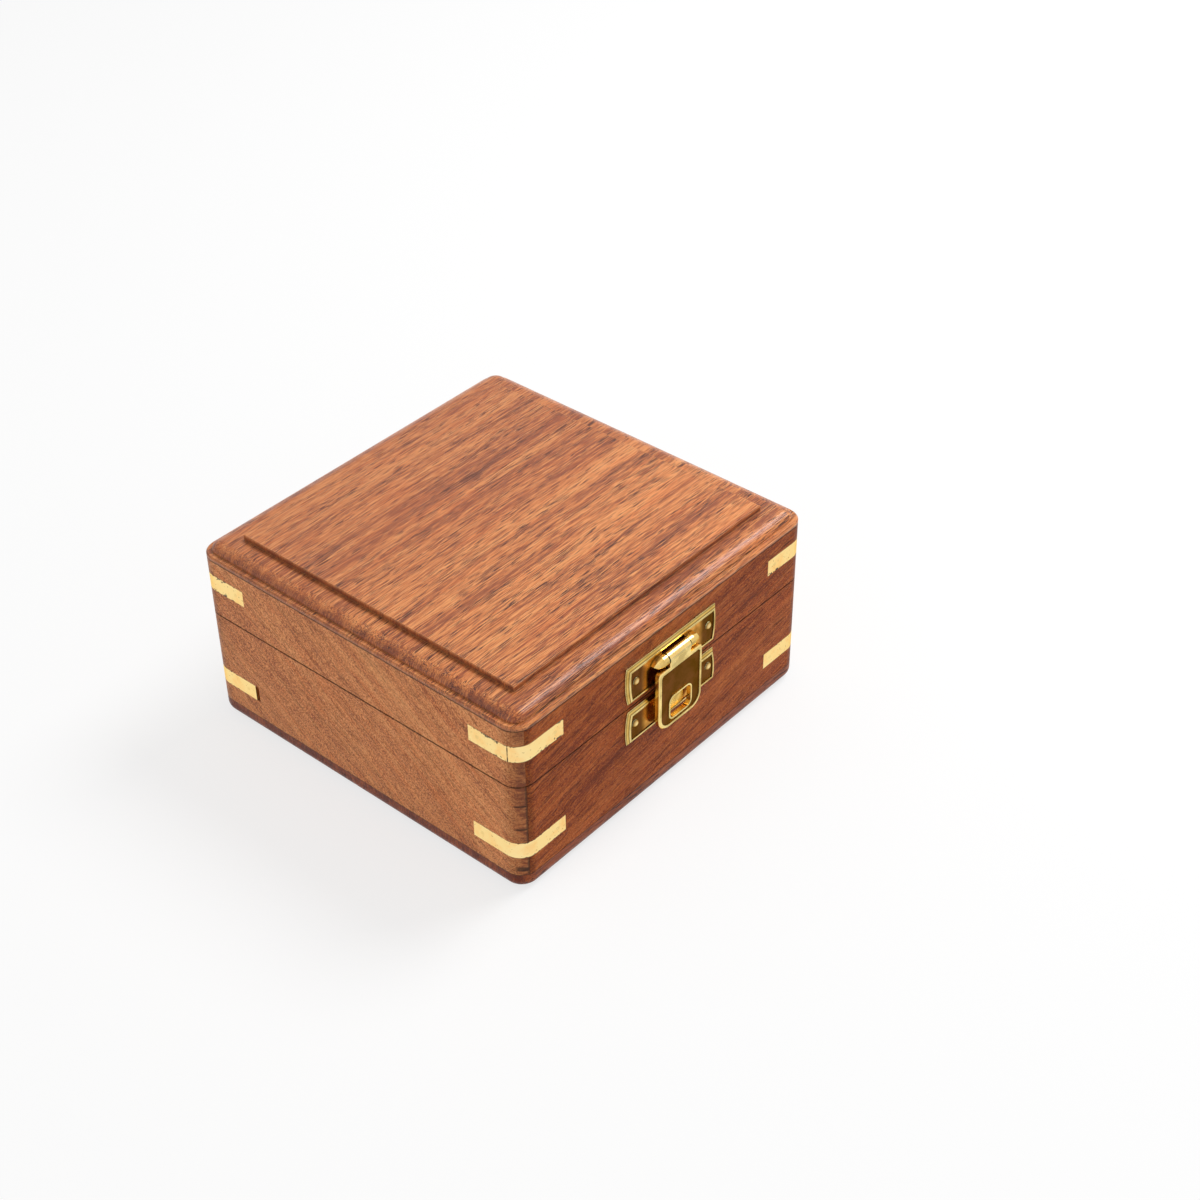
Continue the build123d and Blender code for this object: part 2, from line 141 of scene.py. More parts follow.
class Shader:
    """Adds and links the nodes of one material or node group."""

    def __init__(self, tree: bpy.types.NodeTree) -> None:
        """Start on a tree, which is emptied."""
        self.tree = tree
        tree.nodes.clear()

    def node(self, kind: str, inputs: dict[Any, Any] | None = None, **settings: Any) -> Node:
        """Add a shader node.

        Args:
            kind: the node's type without its "ShaderNode" prefix.
            inputs: values or sockets for its inputs, by name or index.
            **settings: properties of the node itself.

        Returns:
            The new node.
        """
        made = self.tree.nodes.new("ShaderNode" + kind)
        for key, value in settings.items():
            setattr(made, key, value)
        for key, value in (inputs or {}).items():
            self.feed(made.inputs[key], value)
        return made

    def feed(self, socket: Socket, value: Any) -> None:
        """Link a socket into an input, or set the input's own value."""
        if isinstance(value, Socket):
            self.tree.links.new(value, socket)
        elif socket.type == "RGBA":
            socket.default_value = (*value[:3], 1.0)
        else:
            socket.default_value = value

    def math(self, operation: str, *values: Any) -> Socket:
        """Return the result of one arithmetic step on up to three values."""
        return self.node("Math", dict(enumerate(values)), operation=operation).outputs[0]

    def times(self, first: Any, second: Any) -> Socket:
        """Return the product of two values."""
        return self.math("MULTIPLY", first, second)

    def times_plus(self, first: Any, second: Any, third: Any) -> Socket:
        """Return the product of two values plus a third."""
        return self.math("MULTIPLY_ADD", first, second, third)

    def vector_math(self, operation: str, *values: Any) -> Socket:
        """Return the vector result of one step on up to two vectors."""
        return self.node("VectorMath", dict(enumerate(values)), operation=operation).outputs[0]

    def mix(self, factor: Any, first: Any, second: Any, mode: str = "MIX") -> Socket:
        """Return two colours mixed by a factor."""
        inputs = {0: factor, 6: first, 7: second}
        return self.node("Mix", inputs, data_type="RGBA", blend_type=mode).outputs[2]

    def span(self, value: Any, low: float, high: float, to_low: float = 0.0, to_high: float = 1.0) -> Socket:
        """Return a value brought smoothly from one range to another, clamped.

        Args:
            value: the value or socket to bring over.
            low: where the first range starts.
            high: where the first range ends.
            to_low: what low becomes.
            to_high: what high becomes.

        Returns:
            The output socket.
        """
        inputs = {0: value, 1: low, 2: high, 3: to_low, 4: to_high}
        return self.node("MapRange", inputs, interpolation_type="SMOOTHSTEP").outputs[0]

    def ramp(self, value: Any, stops: Sequence[tuple[float, Colour]]) -> Socket:
        """Return the colour that a value from 0 to 1 has on a ramp.

        Args:
            value: the value or socket to look up.
            stops: places on the ramp, in rising order, and their colours.

        Returns:
            The output socket.
        """
        made = self.node("ValToRGB", {"Fac": value})
        elements = made.color_ramp.elements
        elements[0].position, elements[0].color = stops[0][0], (*stops[0][1], 1.0)
        elements[1].position, elements[1].color = stops[-1][0], (*stops[-1][1], 1.0)
        for place, colour in stops[1:-1]:
            elements.new(place).color = (*colour, 1.0)
        return made.outputs[0]

    def noise(self, vector: Any, scale: float, detail: float = 3.0, roughness: float = 0.5) -> Socket:
        """Return the value of a noise texture."""
        inputs = {"Vector": vector, "Scale": scale, "Detail": detail, "Roughness": roughness}
        return self.node("TexNoise", inputs).outputs["Fac"]

    def centred_noise(self, vector: Any, scale: Triple, detail: float) -> Socket:
        """Return noise of its own fineness in each direction, with its middle at zero."""
        return self.math("SUBTRACT", self.noise(self.stretch(vector, scale), 1.0, detail, 0.6), 0.5)

    def stretch(self, vector: Any, scale: Triple) -> Socket:
        """Return a vector scaled along its three directions."""
        return self.node("Mapping", {"Vector": vector, "Scale": scale}).outputs[0]

    def parts(self, vector: Any) -> bpy.types.bpy_prop_collection:
        """Return the three parts of a vector."""
        return self.node("SeparateXYZ", {"Vector": vector}).outputs

    def facing(self, coordinates: Any, axis: int) -> Socket:
        """Return how far a surface faces along an axis of the box, from 0 to 1."""
        return self.math("ABSOLUTE", self.parts(coordinates["Normal"])[axis])

    def bump(self, height: Any, distance: float, strength: float) -> Socket:
        """Return the normal that a height gives."""
        return self.node("Bump", {"Height": height, "Distance": distance, "Strength": strength}).outputs[0]

    def output(self, shader: Any) -> None:
        """Link a shader to a new material output."""
        self.node("OutputMaterial", {"Surface": shader})


@dataclass(frozen=True)
class Effect:
    """A shader node group that several materials share."""

    name: str
    inputs: tuple[tuple[str, str], ...]
    outputs: tuple[tuple[str, str], ...]
    build: Callable[[Shader, Any], dict[str, Socket]]

    def tree(self) -> bpy.types.NodeTree:
        """Return the group's tree, which is built on its first use."""
        if self.name in bpy.data.node_groups:
            return bpy.data.node_groups[self.name]
        tree = bpy.data.node_groups.new(self.name, "ShaderNodeTree")
        for name, kind in self.inputs:
            tree.interface.new_socket(name=name, in_out="INPUT", socket_type="NodeSocket" + kind)
        for name, kind in self.outputs:
            tree.interface.new_socket(name=name, in_out="OUTPUT", socket_type="NodeSocket" + kind)
        shader = Shader(tree)
        given = tree.nodes.new("NodeGroupInput").outputs
        result = tree.nodes.new("NodeGroupOutput").inputs
        for name, socket in self.build(shader, given).items():
            shader.feed(result[name], socket)
        return tree

    def place(self, shader: Shader, inputs: dict[str, Any]) -> Node:
        """Place the group in a material.

        Args:
            shader: the material's shader builder.
            inputs: values or sockets for the group's named inputs.

        Returns:
            The group node.
        """
        made = shader.tree.nodes.new("ShaderNodeGroup")
        made.node_tree = self.tree()
        for key, value in inputs.items():
            shader.feed(made.inputs[key], value)
        return made


def build_wood_figure(shader: Shader, source: Any) -> dict[str, Socket]:
    """Build grain that runs along the vector's X: bands, fine streaks, mottling, end grain and open pores.

    Args:
        shader: the group's shader builder.
        source: the group's inputs, by name.

    Returns:
        The group's outputs, by name.
    """
    warped = shader.stretch(source["Vector"], WOOD_SCALES["warp"])
    warp = shader.node("TexNoise", {"Vector": warped, "Scale": 1.0, "Detail": 2.0}).outputs["Color"]
    centred = shader.vector_math("SUBTRACT", warp, (0.5, 0.5, 0.5))
    sway = shader.node("VectorMath", {0: centred, "Scale": source["Sway"]}, operation="SCALE").outputs[0]
    place = shader.vector_math("ADD", source["Vector"], sway)
    layer = {
        name: shader.centred_noise(place, WOOD_SCALES[name], detail)
        for name, detail in (
            ("wide", 2.0), ("bands", 3.0), ("lines", 2.0), ("fibres", 1.0), ("mottle", 2.0),
            ("red_streaks", 2.0), ("pore_dashes", 0.0), ("pore_crowds", 1.0),
        )
    }
    broad = shader.math("ADD", layer["wide"], layer["bands"])
    hairlines = shader.times_plus(layer["fibres"], 1.35, shader.times(layer["lines"], 0.65))
    tone = shader.times_plus(broad, source["Bands"], shader.times(hairlines, source["Lines"]))
    tone = shader.times_plus(layer["mottle"], source["Mottle"], tone)
    rays = shader.centred_noise(source["Rays"], (1.0, 1.0, 1.0), 2.0)
    cut_ends = shader.times_plus(rays, 1.9, shader.times_plus(broad, 1.1, -0.3))
    long_share = shader.times(tone, shader.math("SUBTRACT", 1.0, source["Ends"]))
    tone = shader.math("ADD", shader.times_plus(cut_ends, source["Ends"], long_share), 0.5)
    colour = shader.mix(shader.span(tone, 0.0, 0.5), source["Dark"], source["Mid"])
    colour = shader.mix(shader.span(tone, 0.5, 1.0), colour, source["Light"])
    redder = shader.times(shader.span(layer["red_streaks"], -0.02, 0.2), 0.55)
    colour = shader.mix(redder, colour, RED_STREAK, "MULTIPLY")
    crowded = shader.times_plus(layer["pore_crowds"], 0.6, layer["pore_dashes"])
    pores = shader.times(shader.span(crowded, 0.13, 0.17), source["Pores"])
    colour = shader.mix(shader.times(pores, 0.9), colour, source["Pore"])
    roughness = shader.times_plus(layer["lines"], 0.3, WOOD_ROUGHNESS)
    relief = shader.times_plus(layer["fibres"], 1.2, shader.times(layer["lines"], 1.6))
    return {
        "Color": colour,
        "Roughness": shader.times_plus(pores, 0.3, roughness),
        "Height": shader.math("SUBTRACT", relief, pores),
    }


def build_edge_wear_and_light(shader: Shader, source: Any) -> dict[str, Socket]:
    """Build a mask of edges, lightened as rubbed wear and painted highlight, and an ambient-occlusion mask
    of crevices, darkened as grime and painted shade; both are broken up by noise.

    Args:
        shader: the group's shader builder.
        source: the group's inputs, by name.

    Returns:
        The group's outputs, by name.
    """
    rounded = shader.node("Bevel", {"Radius": source["Width"]}, samples=4).outputs[0]
    flat = shader.node("NewGeometry").outputs["Normal"]
    facing = shader.node("VectorMath", {0: rounded, 1: flat}, operation="DOT_PRODUCT").outputs["Value"]
    patches = shader.span(shader.noise(source["Vector"], 900.0, 4.0, 0.65), 0.35, 0.6, 0.35, 1.0)
    # Ambient occlusion finds the crevices: their darkening is grime and painted shade.
    openness = shader.node(
        "AmbientOcclusion", {"Distance": source["Reach"]}, samples=6, only_local=False
    ).outputs["AO"]
    # Edge: rubbed wear and painted highlight. Crevice: grime and painted shade.
    return {
        "Edge": shader.times(shader.span(facing, 0.995, 0.86), patches),
        "Crevice": shader.times(shader.span(openness, 0.88, 0.42), patches),
    }


def build_line_stain(shader: Shader, source: Any) -> dict[str, Socket]:
    """Build the mask of a dark joint line, or of a wide band of stain and painted shade, where a coordinate
    is at a given place, ragged along its length.

    Args:
        shader: the group's shader builder.
        source: the group's inputs, by name.

    Returns:
        The group's outputs, by name.
    """
    ragged = shader.times_plus(shader.noise(source["Vector"], 600.0, 4.0, 0.7), 1.6, 0.2)
    width = shader.times(source["Width"], ragged)
    away = shader.math("ABSOLUTE", shader.math("SUBTRACT", source["Coordinate"], source["Place"]))
    return {"Mask": shader.span(shader.math("DIVIDE", away, width), 1.0, 0.35)}


def build_brass_wear(shader: Shader, source: Any) -> dict[str, Socket]:
    """Build tarnish clouds, specks and fine rubbing scratches for brass.

    Args:
        shader: the group's shader builder.
        source: the group's inputs, by name.

    Returns:
        The group's outputs, by name.
    """
    vector = source["Vector"]
    clouds = shader.span(shader.noise(vector, 230.0, 5.0, 0.6), 0.42, 0.7)
    clouds = shader.times(clouds, source["Tarnish"])
    specks = shader.span(shader.noise(vector, 1700.0, 2.0, 0.5), 0.66, 0.74)
    specks = shader.times(specks, source["Specks"])
    scratches = shader.noise(shader.stretch(vector, RUB_SCALES[0]), 1.0, 3.0, 0.7)
    cross = shader.noise(shader.stretch(vector, RUB_SCALES[1]), 1.0, 2.0, 0.7)
    rubbing = shader.times(shader.math("ADD", scratches, cross), source["Scratches"])
    colour = shader.mix(clouds, source["Polished"], source["Dull"])
    colour = shader.mix(shader.times(specks, 0.8), colour, BRASS_SPECK)
    rough = shader.times_plus(specks, 0.3, shader.times_plus(clouds, 0.16, source["Roughness"]))
    return {
        "Color": colour,
        "Roughness": shader.times_plus(rubbing, 0.05, rough),
        "Height": shader.math("SUBTRACT", rubbing, specks),
    }


WOOD_FIGURE = Effect(
    "wood_figure",
    (("Vector", "Vector"), ("Rays", "Vector"), ("Ends", "Float"), ("Light", "Color"), ("Mid", "Color"),
     ("Dark", "Color"), ("Pore", "Color"), ("Sway", "Float"), ("Bands", "Float"), ("Lines", "Float"),
     ("Mottle", "Float"), ("Pores", "Float")),
    (("Color", "Color"), ("Roughness", "Float"), ("Height", "Float")),
    build_wood_figure,
)
EDGE_WEAR_AND_LIGHT = Effect(
    "edge_wear_and_light",
    (("Vector", "Vector"), ("Width", "Float"), ("Reach", "Float")),
    (("Edge", "Float"), ("Crevice", "Float")),
    build_edge_wear_and_light,
)
LINE_STAIN = Effect(
    "line_stain",
    (("Vector", "Vector"), ("Coordinate", "Float"), ("Place", "Float"), ("Width", "Float")),
    (("Mask", "Float"),),
    build_line_stain,
)
BRASS_WEAR = Effect(
    "brass_wear",
    (("Vector", "Vector"), ("Polished", "Color"), ("Dull", "Color"), ("Roughness", "Float"),
     ("Tarnish", "Float"), ("Specks", "Float"), ("Scratches", "Float")),
    (("Color", "Color"), ("Roughness", "Float"), ("Height", "Float")),
    build_brass_wear,
)


def new_material(name: str) -> tuple[bpy.types.Material, Shader]:
    """Return a new node material and its shader builder."""
    material = bpy.data.materials.new(name)
    material.use_nodes = True
    return material, Shader(material.node_tree)


@dataclass(frozen=True)
class JointLine:
    """A dark line along a glued or closing joint, or a wide soft band of stain and painted shade, at one
    coordinate of the box.

    The span, where there is one, keeps the line to a stretch along Y.
    """

    axis: int
    place: float
    width: float
    strength: float = 1.0
    span: tuple[float, float] | None = None


@dataclass(frozen=True)
class WoodFinish:
    """Varnished hardwood: its colours, figure and the board's place in the log."""

    name: str
    grain: GrainAxis
    light: Colour
    mid: Colour
    dark: Colour
    pore: Colour = (0.06, 0.02, 0.014)
    sway: float = 0.006
    bands: float = 1.6
    lines: float = 1.6
    mottle: float = 0.4
    pores: float = 1.0
    log_place: Triple = (0.0, 0.0, 0.0)
    turn_deg: float = 0.0
    gloss: float = 0.3
    # Edge lightening: rubbed wear and painted highlight.
    edge: float = 0.1
    edge_width: float = 0.4 * MM
    crevice_reach: float = 2.2 * MM
    # Colour of joint stains, of grime and of painted shade in crevices.
    grime_and_shade: Colour = (0.05, 0.026, 0.016)
    drift: float = 0.0
    drift_span: tuple[float, float] = (-50.0 * MM, 54.0 * MM)
    joints: tuple[JointLine, ...] = ()

    def joint_mask(self, shader: Shader, coordinates: Any) -> Any:
        """Return the mask of the board's joint lines, stains and painted corner shade, or None where it has
        none.

        Args:
            shader: the material's shader builder.
            coordinates: the material's texture coordinates.

        Returns:
            The mask, which stays off the board's level rims.
        """
        if not self.joints:
            return None
        place = coordinates["Object"]
        parts = shader.parts(place)
        upright = shader.span(shader.facing(coordinates, 2), 0.97, 0.8)
        mask = None
        for joint in self.joints:
            coordinate = shader.math("ABSOLUTE", parts[joint.axis])
            line = LINE_STAIN.place(shader, {
                "Vector": place, "Coordinate": coordinate, "Place": joint.place, "Width": joint.width,
            })
            stain = shader.times(line.outputs["Mask"], joint.strength)
            if joint.span is not None:
                stain = shader.times(stain, shader.span(parts[1], *joint.span))
            mask = stain if mask is None else shader.math("MAXIMUM", mask, stain)
        return shader.times(mask, upright)

    def material(self) -> bpy.types.Material:
        """Return the finish as a material."""
        material, shader = new_material(self.name)
        coordinates = shader.node("TexCoord").outputs
        place = coordinates["Object"]
        tilt = math.radians(self.turn_deg)
        if self.grain is GrainAxis.ALONG_X:
            rotation, axis = (0.0, tilt, 0.0), 0
        else:
            rotation, axis = (tilt, 0.0, math.pi / 2), 1
        mapping = {"Vector": place, "Location": self.log_place, "Rotation": rotation}
        along = shader.node("Mapping", mapping).outputs[0]
        figure = WOOD_FIGURE.place(shader, {
            "Vector": along, "Rays": shader.stretch(place, RAY_SCALES[self.grain.value]),
            "Ends": shader.span(shader.facing(coordinates, axis), 0.3, 0.85), "Light": self.light,
            "Mid": self.mid, "Dark": self.dark, "Pore": self.pore, "Sway": self.sway, "Bands": self.bands,
            "Lines": self.lines, "Mottle": self.mottle, "Pores": self.pores,
        })
        wear_and_light = EDGE_WEAR_AND_LIGHT.place(
            shader, {"Vector": place, "Width": self.edge_width, "Reach": self.crevice_reach}
        ).outputs
        # Crevice darkening is grime and painted shade; the joint mask adds joint stains and painted corner
        # shade.
        dirt_and_shade = shader.times(wear_and_light["Crevice"], 0.85)
        joints = self.joint_mask(shader, coordinates)
        if joints is not None:
            dirt_and_shade = shader.math("MAXIMUM", dirt_and_shade, joints)
        # Edges lighter as rubbed wear and painted highlight.
        rubbed_and_lit = tuple(min(1.0, 1.2 * channel) for channel in self.light)
        colour = figure.outputs["Color"]
        if self.drift:
            across = shader.span(shader.parts(place)[1], *self.drift_span)
            colour = shader.mix(shader.times(across, self.drift), colour, self.dark)
        colour = shader.mix(shader.times(wear_and_light["Edge"], self.edge), colour, rubbed_and_lit)
        colour = shader.mix(shader.times(dirt_and_shade, 0.85), colour, self.grime_and_shade)
        bump = shader.bump(figure.outputs["Height"], WOOD_RELIEF, 0.5)
        surface = shader.node("BsdfPrincipled", {
            "Base Color": colour, "Roughness": figure.outputs["Roughness"], "Specular IOR Level": 0.04,
            "Coat Weight": self.gloss, "Coat Roughness": 0.29, "Coat IOR": 1.45, "Normal": bump,
            "Coat Normal": bump,
        })
        shader.output(surface.outputs[0])
        return material


@dataclass(frozen=True)
class DepthTones:
    """Painted reflection and shade on stamped metal: shares of its colour that it keeps, by the distance in
    front of the box's middle.
    """

    low: float
    high: float
    stops: tuple[tuple[float, Colour], ...]

    def colour(self, shader: Shader, depth: Any) -> Socket:
        """Return the shares at a distance."""
        along = shader.node("MapRange", {0: depth, 1: self.low, 2: self.high}).outputs[0]
        return shader.ramp(along, self.stops)


@dataclass(frozen=True)
class BrassFinish:
    """Brass in one state of polish. Stamped pieces carry painted reflection and shade: darker in their
    hollows and along their slopes, with a painted orange reflection near the blisters.
    """

    name: str
    polished: Colour
    dull: Colour
    roughness: float
    tarnish: float = 0.5
    specks: float = 0.3
    scratches: float = 1.0
    # Edge lightening is rubbed wear and painted highlight; crevice darkening is grime and painted shade.
    edge: float = 0.6
    grime_and_shade: float = 0.6
    # Painted reflection and shade of stamped pieces, by depth and facing, with a painted orange reflection
    # near the blisters.
    flat_light_tones: DepthTones | None = None
    slope_light_tones: DepthTones | None = None
    reflection_glow_span: tuple[float, float] | None = None
    reflection_glow_share: Colour = (0.75, 0.46, 0.26)
    sunk_depth: float = 55.2 * MM
    filler_colour: Colour = (0.05, 0.02, 0.01)
    edge_width: float = 0.2 * MM
    crevice_reach: float = 0.9 * MM

    def painted_light(self, shader: Shader, coordinates: Any) -> Any:
        """Return the painted reflection and shade, as shares of its colour that the metal keeps, or None
        where it isn't stamped.
        """
        if self.flat_light_tones is None or self.slope_light_tones is None:
            return None
        object_place = coordinates["Object"]
        place = shader.parts(object_place)
        depth = shader.math("ABSOLUTE", place[1])
        flat = shader.math("GREATER_THAN", shader.facing(coordinates, 1), 0.93)
        clouds = shader.span(shader.noise(object_place, 300.0, 3.0, 0.6), 0.35, 0.68, 0.62, 1.0)
        tones = self.flat_light_tones.colour(shader, depth)
        tones = shader.node("VectorMath", {0: tones, "Scale": clouds}, operation="SCALE").outputs[0]
        # Painted orange reflection in the hollow near the blisters.
        if self.reflection_glow_span is not None:
            near = shader.span(shader.math("ABSOLUTE", place[0]), *self.reflection_glow_span)
            patches = shader.span(shader.noise(object_place, 260.0, 2.0), 0.3, 0.62, 0.45, 1.0)
            sunk = shader.math("LESS_THAN", depth, self.sunk_depth)
            glow = shader.times(shader.times(near, patches), sunk)
            tones = shader.mix(glow, tones, self.reflection_glow_share)
        return shader.mix(flat, self.slope_light_tones.colour(shader, depth), tones)

    def filler_mask(self, shader: Shader, coordinates: Any) -> Any:
        """Return the mask of dark filler on the metal, or None where there is none."""
        return None

    def material(self) -> bpy.types.Material:
        """Return the finish as a material."""
        material, shader = new_material(self.name)
        coordinates = shader.node("TexCoord").outputs
        place = coordinates["Object"]
        worn = BRASS_WEAR.place(shader, {
            "Vector": place, "Polished": self.polished, "Dull": self.dull, "Roughness": self.roughness,
            "Tarnish": self.tarnish, "Specks": self.specks, "Scratches": self.scratches,
        })
        wear_and_light = EDGE_WEAR_AND_LIGHT.place(
            shader, {"Vector": place, "Width": self.edge_width, "Reach": self.crevice_reach}
        ).outputs
        # Edges lightened as rubbed wear and painted highlight; crevices darkened as grime and painted shade.
        bright = tuple(min(1.0, 1.25 * channel) for channel in self.polished)
        colour = worn.outputs["Color"]
        # Painted reflection and shade of stamped pieces, multiplied into the colour.
        painted_light = self.painted_light(shader, coordinates)
        if painted_light is not None:
            colour = shader.mix(1.0, colour, painted_light, "MULTIPLY")
        colour = shader.mix(shader.times(wear_and_light["Edge"], self.edge), colour, bright)
        colour = shader.mix(shader.times(wear_and_light["Crevice"], self.grime_and_shade), colour, BRASS_GRIME_AND_SHADE)
        metallic: Any = 1.0
        filler = self.filler_mask(shader, coordinates)
        if filler is not None:
            colour = shader.mix(filler, colour, self.filler_colour)
            metallic = shader.math("SUBTRACT", 1.0, filler)
        surface = shader.node("BsdfPrincipled", {
            "Base Color": colour, "Metallic": metallic, "Roughness": worn.outputs["Roughness"],
            "Normal": shader.bump(worn.outputs["Height"], BRASS_RELIEF, 0.35), "Specular Tint": BRASS_SHEEN,
        })
        shader.output(surface.outputs[0])
        return material


@dataclass(frozen=True)
class StrapFinish(BrassFinish):
    """Strap brass, let in by hand: its long edges are ragged with dark filler, and one bend has cracked."""

    middles: tuple[float, float] = (12.85 * MM, 43.45 * MM)
    half_height: float = 2.45 * MM
    ragged: float = 1.3 * MM
    neat_share: float = 0.3
    frayed: tuple[float, float] = (-50.0 * MM, -38.0 * MM)
    bend: Triple = (-54.0 * MM, -50.76 * MM, 30.0 * MM)
    crack_width: float = 0.15 * MM
    filler_line: float = 0.07 * MM

    def filler_mask(self, shader: Shader, coordinates: Any) -> Any:
        """Return the mask of the ragged edges and the cracked bend."""
        place = coordinates["Object"]
        x, y, z = shader.parts(place)
        away = [shader.math("ABSOLUTE", shader.math("SUBTRACT", z, middle)) for middle in self.middles]
        inset = shader.math("SUBTRACT", self.half_height, shader.math("MINIMUM", *away))
        notches = shader.span(shader.noise(place, 1100.0, 3.0, 0.6), 0.5, 0.72)
        stretches = shader.span(shader.noise(place, 70.0, 1.0), 0.42, 0.62)
        low_x, bend_y, low_z = self.bend
        upper = shader.math("GREATER_THAN", z, low_z)
        neat = self.neat_share * self.ragged
        care = shader.times_plus(upper, self.ragged - neat, neat)
        low = shader.math("LESS_THAN", z, self.middles[1])
        frayed = shader.times(shader.times(low, upper), shader.math("LESS_THAN", y, bend_y))
        for way, limit in zip(("GREATER_THAN", "LESS_THAN"), self.frayed):
            frayed = shader.times(frayed, shader.math(way, x, limit))
        stretches = shader.math("MAXIMUM", stretches, frayed)
        bite = shader.times(shader.times(notches, stretches), care)
        edge = shader.math("LESS_THAN", inset, shader.math("ADD", bite, self.filler_line))
        dots = shader.span(shader.noise(place, 1900.0, 1.0), 0.38, 0.5, 0.35, 1.0)
        reach = shader.times(dots, self.crack_width)
        off_bend = shader.math("ABSOLUTE", shader.math("SUBTRACT", y, bend_y))
        crack = shader.times(shader.math("LESS_THAN", off_bend, reach), upper)
        crack = shader.times(crack, shader.math("LESS_THAN", x, low_x))
        return shader.math("MAXIMUM", edge, crack)


@dataclass(frozen=True)
class FeltFinish:
    """Napped wool felt."""

    name: str
    nap: Colour
    shade: Colour

    def material(self) -> bpy.types.Material:
        """Return the finish as a material."""
        material, shader = new_material(self.name)
        place = shader.node("TexCoord").outputs["Object"]
        tufts = shader.noise(place, 700.0, 5.0, 0.7)
        fibres = shader.noise(shader.stretch(place, (2600.0, 900.0, 900.0)), 1.0, 3.0, 0.7)
        strands = shader.noise(shader.stretch(place, (800.0, 3000.0, 900.0)), 1.0, 3.0, 0.7)
        threads = shader.math("ADD", fibres, strands)
        pile = shader.times_plus(threads, 0.5, shader.times(tufts, 0.6))
        colour = shader.mix(shader.span(pile, 0.6, 1.0), self.shade, self.nap)
        surface = shader.node("BsdfPrincipled", {
            "Base Color": colour, "Roughness": shader.span(tufts, 0.3, 0.7, 0.85, 1.0),
            "Normal": shader.bump(pile, FELT_RELIEF, 0.8),
            "Sheen Weight": 0.5, "Sheen Roughness": 0.4, "Specular IOR Level": 0.1,
        })
        shader.output(surface.outputs[0])
        return material


# Mesh building


def clear_selection() -> None:
    """Leave nothing selected or active."""
    bpy.ops.object.select_all(action="DESELECT")
    bpy.context.view_layer.objects.active = None


def make_active(piece: Piece) -> None:
    """Select one object alone and make it active."""
    clear_selection()
    piece.select_set(True)
    bpy.context.view_layer.objects.active = piece


@contextmanager
def editing(piece: Piece) -> Iterator[None]:
    """Open an object's mesh for editing, all selected, and close it again."""
    make_active(piece)
    bpy.ops.object.mode_set(mode="EDIT")
    bpy.ops.mesh.select_all(action="SELECT")
    yield
    bpy.ops.object.mode_set(mode="OBJECT")


def apply_modifier(piece: Piece, kind: str, **settings: Any) -> None:
    """Add a modifier to an object and apply it at once."""
    make_active(piece)
    made = piece.modifiers.new(kind.lower(), kind)
    for key, value in settings.items():
        setattr(made, key, value)
    bpy.ops.object.modifier_apply(modifier=made.name)


def settle(piece: Piece, smooth_deg: float = 40.0) -> None:
    """Put an object's place into its mesh, turn its faces outwards and smooth its gentle edges."""
    make_active(piece)
    bpy.ops.object.transform_apply(location=True, rotation=True, scale=True)
    with editing(piece):
        bpy.ops.mesh.normals_make_consistent(inside=False)
    bpy.ops.object.shade_smooth_by_angle(angle=math.radians(smooth_deg))


def point_along(piece: Piece, direction: Vector, place: Vector) -> None:
    """Turn an object that was made along +Z to point in a direction from a place."""
    piece.rotation_mode = "QUATERNION"
    piece.rotation_quaternion = Vector((0.0, 0.0, 1.0)).rotation_difference(direction)
    piece.location = place
    bpy.context.view_layer.update()


def joined(pieces: Sequence[Piece], name: str) -> Piece:
    """Join objects into one under a new name, and return it."""
    make_active(pieces[0])
    for piece in pieces:
        piece.select_set(True)
    bpy.ops.object.join()
    pieces[0].name = name
    return pieces[0]


def copied(piece: Piece) -> Piece:
    """Return a copy of an object with a mesh of its own."""
    made = piece.copy()
    made.data = piece.data.copy()
    bpy.context.scene.collection.objects.link(made)
    return made


def spread(model: Piece, spots: Sequence[tuple[Vector, FaceAxis]], name: str) -> Piece:
    """Copy one small fastener to every spot and join the copies.

    Args:
        model: the fastener, made along +Z at the origin.
        spots: places and directions of its head.
        name: the name of the joined piece.

    Returns:
        The joined piece, with its place in its mesh.
    """
    copies = []
    for place, direction in spots:
        made = copied(model)
        point_along(made, direction.vector(), place)
        copies.append(made)
    bpy.data.objects.remove(model)
    whole = joined(copies, name)
    settle(whole)
    return whole


def dress(nodes: Sequence[str], material: bpy.types.Material) -> None:
    """Give rigid nodes a material in all their slots."""
    for name in nodes:
        mesh = frame["nodes"][name].data
        if not mesh.materials:
            mesh.materials.append(material)
        for index in range(len(mesh.materials)):
            mesh.materials[index] = material
        LOG.info("%s: %s", name, material.name)


def finish_piece(piece: Piece, material: bpy.types.Material, body: str) -> None:
    """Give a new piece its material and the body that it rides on."""
    piece.data.materials.clear()
    piece.data.materials.append(material)
    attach(piece, body)
    LOG.info("%s: %s, %d faces", piece.name, material.name, len(piece.data.polygons))


# Sub-assemblies


